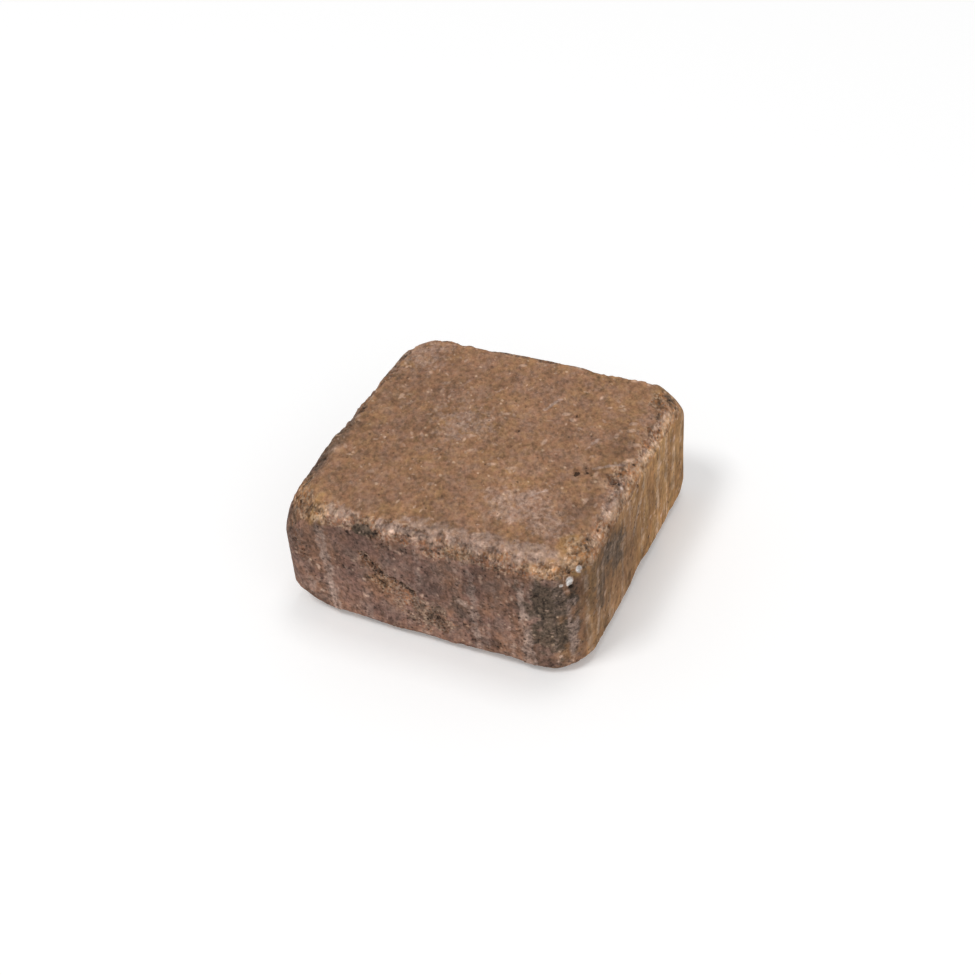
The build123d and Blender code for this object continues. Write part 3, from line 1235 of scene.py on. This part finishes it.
@dataclass
class Studio:
    """The camera, the pale floor and the soft lights."""

    azimuth: float = 27.565
    elevation: float = 39.372
    roll: float = -4.828
    distance: float = 668.7
    lens: float = 54.345
    sensor: float = 36.0
    aim: Place = (0.0, 0.0, 30.0)
    aim_right: float = -2.188
    aim_up: float = 2.224

    floor_size: float = 8000.0
    floor_grey: float = 0.8
    floor_seen: float = 0.9
    floor_glow: float = 0.16
    sky: float = 0.45
    lamp_distance: float = 5000.0
    lamps: tuple[Lamp, ...] = (
        Lamp("front key light", azimuth=-35.0, elevation=62.0, size=1400.0, power=86.0),
        Lamp("back key light", azimuth=172.0, elevation=75.0, size=1600.0, power=42.0),
        Lamp("fill light", azimuth=50.0, elevation=25.0, size=4500.0, power=45.0),
    )

    def camera(self) -> None:
        """Place the camera where the photograph was taken from."""
        back = towards(self.azimuth, self.elevation)
        turn, tilt = radians(self.azimuth), radians(self.roll)
        level = Vector((cos(turn), sin(turn), 0.0))
        right = level * cos(tilt) + back.cross(level) * sin(tilt)
        up = back.cross(right)
        bpy.ops.object.camera_add()
        camera = bpy.context.object
        camera.name = "camera"
        camera.data.lens = self.lens
        camera.data.sensor_width = self.sensor
        camera.data.clip_start, camera.data.clip_end = 0.01, 50.0
        place = Vector(self.aim) + back * self.distance + right * self.aim_right + up * self.aim_up
        axes = Matrix((right, up, back)).transposed().to_4x4()
        camera.matrix_world = Matrix.Translation(place * MM) @ axes
        bpy.context.scene.camera = camera

    def floor(self) -> None:
        """Lay the pale floor, which the camera sees as white but for the shadow."""
        bpy.ops.mesh.primitive_plane_add(size=self.floor_size * MM)
        floor = bpy.context.object
        floor.name = "floor"
        material = bpy.data.materials.new("pale floor")
        material.use_nodes = True
        nodes, links = material.node_tree.nodes, material.node_tree.links
        nodes.remove(nodes["Principled BSDF"])
        graph = Graph(material.node_tree)
        plain, pale = (
            graph.add("BsdfDiffuse", {"Color": (grey, grey, grey, 1.0)}).outputs[0]
            for grey in (self.floor_grey, self.floor_seen)
        )
        inputs = {"Color": (1.0, 1.0, 1.0, 1.0), "Strength": self.floor_glow}
        glow = graph.add("Emission", inputs).outputs[0]
        white = graph.add("AddShader", {0: pale, 1: glow}).outputs[0]
        surface = graph.add("MixShader", {0: graph.seen(), 1: plain, 2: white}).outputs[0]
        links.new(surface, nodes["Material Output"].inputs["Surface"])
        floor.data.materials.append(material)

    def hang(self, lamp: Lamp) -> None:
        """Hang a lamp that faces the paver.

        Args:
            lamp: The lamp.
        """
        away = towards(lamp.azimuth, lamp.elevation)
        place = Vector(self.aim) * MM + away * (self.lamp_distance * MM)
        bpy.ops.object.light_add(type="AREA", location=place)
        light = bpy.context.object
        light.name = lamp.name
        light.rotation_euler = away.to_track_quat("Z", "Y").to_euler()
        light.data.size = lamp.size * MM
        light.data.energy = lamp.power

    def world(self) -> None:
        """Light the scene evenly from all round, with white behind everything."""
        world = bpy.data.worlds.new("studio")
        bpy.context.scene.world = world
        world.use_nodes = True
        graph = Graph(world.node_tree)
        background = world.node_tree.nodes["Background"]
        background.inputs["Color"].default_value = (1.0, 1.0, 1.0, 1.0)
        strength = graph.ramp(graph.seen(), self.sky, 1.0)
        world.node_tree.links.new(strength, background.inputs["Strength"])

    def build(self) -> None:
        """Set up the whole studio."""
        self.camera()
        self.floor()
        for lamp in self.lamps:
            self.hang(lamp)
        self.world()
        bpy.context.scene.view_settings.view_transform = "Standard"


def main() -> None:
    """Build the paver, dress it and set up the studio."""
    logging.basicConfig(level=logging.INFO, format="%(name)s: %(message)s")
    pick(None)
    piece = Paver().build()
    piece.data.materials.append(ConcreteFinish().material())
    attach(piece, "root")
    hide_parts("paver")
    triangles = sum(len(face.vertices) - 2 for face in piece.data.polygons)
    log.info("%s: %d points, %d triangles", piece.name, len(piece.data.vertices), triangles)
    Studio().build()


if __name__ == "__main__":
    main()
